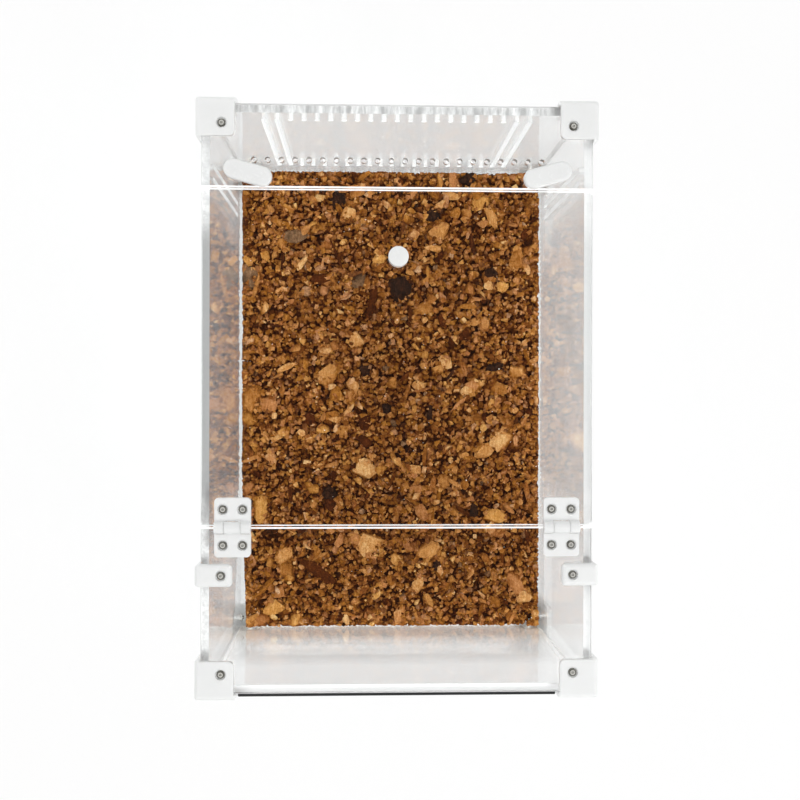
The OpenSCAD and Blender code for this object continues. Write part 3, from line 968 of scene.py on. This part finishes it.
def chipShape(seed, kind):
    chance = random.Random(seed)
    form = chipForms[kind["start"]]
    bm = bmesh.new()
    if kind["start"] == "cube":
        bmesh.ops.create_cube(bm, size=form["size"])
    else:
        bmesh.ops.create_icosphere(bm, subdivisions=form["rounds"], radius=form["size"])
    for vert in bm.verts:
        vert.co *= chance.uniform(*form["spread"])
    for vert in bm.verts if "lumps" in form else ():
        swell = 1.0
        for amount, pitch, moved in form["lumps"]:
            swell += amount * noise.noise(vert.co * pitch + Vector((seed * moved, 0, 0)))
        vert.co *= swell
    for _ in range(kind["cuts"]):
        way = Vector([chance.gauss(0, 1) for _ in range(3)]).normalized()
        cut = bmesh.ops.bisect_plane(
            bm, geom=bm.verts[:] + bm.edges[:] + bm.faces[:],
            plane_co=way * chance.uniform(*chipCuts), plane_no=way, clear_outer=True)
        rim = [piece for piece in cut["geom_cut"] if isinstance(piece, bmesh.types.BMEdge)]
        if rim:
            bmesh.ops.contextual_create(bm, geom=rim)
    bmesh.ops.triangulate(bm, faces=bm.faces)
    bmesh.ops.recalc_face_normals(bm, faces=bm.faces)
    mesh = bpy.data.meshes.new("chipShape")
    bm.to_mesh(mesh)
    bm.free()
    for name in ("chipTone", "chipWarmth"):
        mesh.attributes.new(name, "FLOAT", "POINT")
    return mesh


def nutSpots():
    # where the nuts sit, so that no chip lies in one
    low, high = nuts["heights"]
    spots = []
    for sx in (-1, 1):
        for sy in (-1, 1):
            x = sx * (nuts["halfBox"][0] - nuts["inset"])
            y = sy * (nuts["halfBox"][1] - nuts["inset"])
            spots.append(Vector((x, y, low)))
            spots.append(Vector((sx * nuts["walls"][0], y, high)))
            spots.append(Vector((x, sy * nuts["walls"][1], high)))
    return spots


def rimSpots(layer, sides, chance):
    # rows along each wall
    left, right, front, rear = sides
    spots = []
    for depth in layer["depths"]:
        for height in layer["heights"]:
            for low, high, ends in ((left, right, (front + depth, rear - depth)),
                                    (front, rear, (left + depth, right - depth))):
                for across in ends:
                    place = low
                    while place < high:
                        a = place + chance.uniform(0, layer["shift"])
                        z = height + chance.uniform(-layer["shift"], layer["shift"])
                        spots.append(Vector((a, across, z) if low == left else (across, a, z)))
                        place += layer["step"]
    return spots


def chipSpots(layer, settings, chance):
    sides = [settings[side] for side in ("left", "right", "front", "rear")]
    left, right, front, rear = sides
    if layer["level"] == "rim":
        return rimSpots(layer, sides, chance)
    loose = "count" in layer
    if loose:
        flat = [(chance.uniform(left, right), chance.uniform(front, rear))
                for _ in range(layer["count"])]
    else:
        step, off, flat = layer["step"], settings["scatter"], []
        for i in range(int((right - left) / step) + 1):
            for j in range(int((rear - front) / step) + 1):
                shift = 0.5 * step * (j % 2)
                flat.append((left + i * step + shift + chance.uniform(-off, off) * step,
                             front + j * step + chance.uniform(-off, off) * step))
    spots = []
    for x, y in flat:
        level = settings["bottom"] if layer["level"] == "floor" else surfaceAt(x, y)
        z = level + chance.uniform(*layer["rise"])
        if not (loose and underLargeChip(x, y)):
            spots.append(Vector((x, y, z)))
    return spots


def underLargeChip(x, y):
    for look in largeChips.values():
        for across, along, long, wide, turn in look["chips"]:
            dx, dy = x * 1000 - across, y * 1000 - along
            if abs(dx) > long or abs(dy) > long:
                continue
            c, s = math.cos(math.radians(turn)), math.sin(math.radians(turn))
            a, b = (dx * c + dy * s) / long, (dy * c - dx * s) / wide
            if a * a + b * b < largeChip["clearShare"] ** 2:
                return True
    return False


def chipTone(spot, kind, settings, chance):
    # dark and pale bits gather loosely, as poured chips do
    pitch = settings["gatherPitch"]
    gathered = noise.noise(Vector((spot.x * pitch, spot.y * pitch, settings["gatherSlice"])))
    tone = (settings["tone"] + settings["gathered"] * gathered
            + chance.gauss(0, settings["toneSpread"]))
    warmth = settings["warmth"] + chance.gauss(0, settings["warmthSpread"])
    warmth = min(1.0, max(settings["coldest"], warmth))
    if kind in ("bark", "chunk"):
        tone = chance.choice(settings[kind]) + chance.gauss(0, settings["pickSpread"])
        if kind == "chunk" and tone < settings["darkChunk"]:
            warmth = 0.0
    elif chance.random() < settings["charredShare"]:
        tone, warmth = chance.uniform(*settings["charred"]), 0.0
    return min(1.0, max(0.0, tone)), warmth


def edgeLimits(spot, settings):
    # the bed ends unevenly, a little short of each wall
    pitch = settings["raggedPitch"]
    wave = 0.5 + 0.5 * noise.noise(
        Vector((spot.x * pitch, spot.y * pitch, settings["raggedSlice"])))
    hold = settings["ragged"] * wave
    forward = (settings["taperFrom"] - spot.y) / settings["taperOver"]
    drawn = settings["leftTaper"] * min(1.0, max(0.0, forward))
    low = Vector((settings["left"] + hold + drawn, settings["front"] + hold, settings["bottom"]))
    high = Vector((settings["right"] - hold, settings["rear"] - hold, settings["highest"]))
    return low, high


def placeChip(points, spot, sizes, turn, settings):
    # turned, stretched and kept inside the bed; gives the points and the centre
    put = turn @ Matrix.Diagonal(sizes)
    placed = [put @ point for point in points]
    centre = spot.copy()
    low, high = edgeLimits(spot, settings)
    for axis in range(3):
        reachLow = min(point[axis] for point in placed)
        reachHigh = max(point[axis] for point in placed)
        centre[axis] = min(max(centre[axis], low[axis] - reachLow), high[axis] - reachHigh)
    return placed, centre


def clearOfNuts(placed, centre, spots, lift, highestSpot):
    # a chip at the surface lies over a nut that it would meet, and one deeper down is left out
    near = nuts["room"] + max(point.x for point in placed) * nuts["roomShare"]
    for nut in spots:
        if abs(centre.x - nut.x) > near or abs(centre.y - nut.y) > near:
            continue
        lowest, highest = min(point.z for point in placed), max(point.z for point in placed)
        if centre.z + lowest > nut.z + nuts["clear"] or centre.z + highest < nut.z - nuts["clear"]:
            continue
        if not lift:
            return False
        room = highestSpot - nut.z - nuts["clear"]
        squash = min(1.0, room / (highest - lowest))
        for point in placed:
            point.z *= squash
        centre.z = nut.z + nuts["clear"] - lowest * squash
    return True


def addChip(bm, mesh, placed, centre, look, surface, settings):
    mesh.vertices.foreach_set("co", [value for point in placed for value in (point + centre)])
    tone, warmth = look
    # painted shade: what lies lower is darker, down between the others
    if surface:
        lit = surfaceAt(centre.x, centre.y) + settings["lit"]
        depth = [min(1.0, max(0.0, (lit - point.z - centre.z) / settings["darkens"]))
                 for point in placed]
        shade = [tone * (1.0 - settings["darkest"] * d) for d in depth]
    else:
        # painted shade all over a chip below the surface layers
        shade = [tone * settings["buriedShade"]] * len(placed)
    mesh.attributes["chipTone"].data.foreach_set("value", shade)
    mesh.attributes["chipWarmth"].data.foreach_set("value", [warmth] * len(placed))
    bm.from_mesh(mesh)


def chipShapes(seed, kind):
    made = [chipShape(seed * seedStep + index, kind) for index in range(kind["shapes"])]
    return [(mesh, [vert.co.copy() for vert in mesh.vertices]) for mesh in made]


def finishChips(name, bm, shapes, material):
    piece = meshObject(name, bm)
    for mesh, _ in shapes:
        bpy.data.meshes.remove(mesh)
    piece.data.materials.append(material)
    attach(piece, "root")
    print("laid", name, len(piece.data.polygons), "faces")


def layChips(name, layer, settings, material):
    chance = random.Random(layer["seed"])
    kind = chipKinds[layer["kind"]]
    shapes = chipShapes(layer["seed"], kind)
    spots = nutSpots()
    surface = layer["level"] == "surface"
    lean = kind["lean"]
    bm = bmesh.new()
    for spot in chipSpots(layer, settings, chance):
        mesh, points = chance.choice(shapes)
        half = chance.uniform(*kind["half"])
        flat = half * chance.uniform(*kind["flat"])
        long = half * chance.uniform(*kind["long"])
        turn = Euler((chance.gauss(0, lean), chance.gauss(0, lean * leanShare),
                      chance.uniform(*anyTurn))).to_matrix()
        placed, centre = placeChip(points, spot, (long, half, flat), turn, settings)
        look = chipTone(centre, layer["kind"], chipTones, chance)
        if clearOfNuts(placed, centre, spots, surface, settings["highest"]):
            addChip(bm, mesh, placed, centre, look, surface, settings)
    finishChips(name, bm, shapes, material)


def layLargeChips(rows, kind, settings, material):
    chance = random.Random(kind["seed"])
    shapes = chipShapes(kind["seed"], kind)
    bm = bmesh.new()
    for look in rows.values():
        for across, along, long, wide, turn in look["chips"]:
            mesh, points = chance.choice(shapes)
            flat = min(kind["thickest"], wide / 1000 * kind["flat"])
            x, y = across / 1000, along / 1000
            spot = Vector((x, y, surfaceAt(x, y) + kind["rise"] - flat))
            lean = Euler((chance.gauss(0, kind["lean"]), chance.gauss(0, kind["lean"]),
                          math.radians(turn))).to_matrix()
            sizes = (long / 1000 * kind["size"], wide / 1000 * kind["size"], flat)
            placed, centre = placeChip(points, spot, sizes, lean, settings)
            tone = max(kind["darkest"], look["tone"] + chance.gauss(0, kind["toneSpread"]))
            addChip(bm, mesh, placed, centre, (tone, look["warmth"]), True, settings)
    finishChips("largeChips", bm, shapes, material)


def bedCore(settings, material):
    inset, pitch = settings["coreInset"], settings["coreBumpPitch"]
    width = settings["right"] - settings["left"] - 2 * inset
    length = settings["rear"] - settings["front"] - 2 * inset
    middle = ((settings["left"] + settings["right"]) / 2,
              (settings["front"] + settings["rear"]) / 2, 0.0)
    bm = bmesh.new()
    bmesh.ops.create_grid(bm, x_segments=settings["coreGrid"][0],
                          y_segments=settings["coreGrid"][1], size=0.5)
    bmesh.ops.scale(bm, verts=bm.verts, vec=(width, length, 1.0))
    bmesh.ops.translate(bm, verts=bm.verts, vec=middle)
    made = bmesh.ops.extrude_face_region(bm, geom=bm.faces[:])
    raised = {piece for piece in made["geom"] if isinstance(piece, bmesh.types.BMVert)}
    for vert in bm.verts:
        if vert in raised:
            x, y = vert.co.x, vert.co.y
            bump = settings["coreBump"] * noise.noise(
                Vector((x * pitch, y * pitch, settings["coreBumpSlice"])))
            vert.co.z = surfaceAt(x, y) - settings["coreBelow"] + bump
        else:
            vert.co.z = settings["coreBottom"]
    bmesh.ops.recalc_face_normals(bm, faces=bm.faces)
    core = meshObject("bedCore", bm)
    core.data.materials.append(material)
    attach(core, "root")
    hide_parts("substrate")
    print("bed core made")


addCamera(camera)
for lampName, lampSettings in lamps.items():
    addLamp(lampName, *lampSettings)
setWorld(stage)
addFloor(stage)
print("camera, lamps and floor set")

faces = sheetGroup(marks)
sawMarks = sawMarkGroup(marks)
handled = handledGroup(marks)
flats = flatGroup(marks)
bits = woodyGroup(woody)

walls = {kind: holeMaterial(kind + "Acrylic", settings) for kind, settings in holeWalls.items()}
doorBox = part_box("door_panel")
lidSeams = (doorBox[1].y, doorBox[0].y, 0.0)
for sheetName, sheetSettings in sheets.items():
    sheet = {**anySheet, **sheetSettings}
    if sheet["faces"] == "z":
        sheet["seams"] = lidSeams
    looks = [acrylicMaterial(camelName("clear_" + sheetName), faces, sheet, acrylic),
             sawnMaterial(camelName("sawn_" + sheetName), sawMarks, sheet)]
    if sheet["holes"]:
        looks.append(walls[sheet["holes"]])
    dressSheet(sheetName, sheet, looks, acrylic)
print("sheets dressed")

milkyStarts = ("cap_top_", "side_clip_", "hinge_fixed_left", "hinge_fixed_right",
               "hinge_door_left", "hinge_door_right")
finishes = {
    "milkyPlastic": (milky, [name for name in nodes if name.startswith(milkyStarts)]),
    "milkyFoot": (milkyFoot, [name for name in nodes if name.startswith("cap_foot_")]),
    "whitePlastic": (white, ["latch_left", "latch_right", "knob", "latch_washer_left",
                             "latch_washer_right"]),
    "platedSteel": (steel, [name for name in nodes if "screw" in name or "hinge_pin" in name]),
    "zincNuts": (zinc, [name for name in nodes if "nuts" in name]),
    "paintedShadeStrip": (shadeStrip, ["front_edge_strip"]),
}
for finish, (settings, members) in finishes.items():
    material = handledMaterial(finish, handled, flats, settings)
    for member in members:
        for place in nodes[member].material_slots:
            place.material = material
    print("finish", finish, "on", len(members), "nodes")

chipFinish = woodyMaterial("corkChips", bits, woody, True)
coreFinish = woodyMaterial("paintedShadeCore", bits, woody, False)
bedCore(bed, coreFinish)
for layerName, layerSettings in chipLayers.items():
    layChips(layerName, layerSettings, bed, chipFinish)
layLargeChips(largeChips, largeChip, bed, chipFinish)

bpy.context.scene.view_settings.view_transform = "Standard"

bpy.context.view_layer.update()
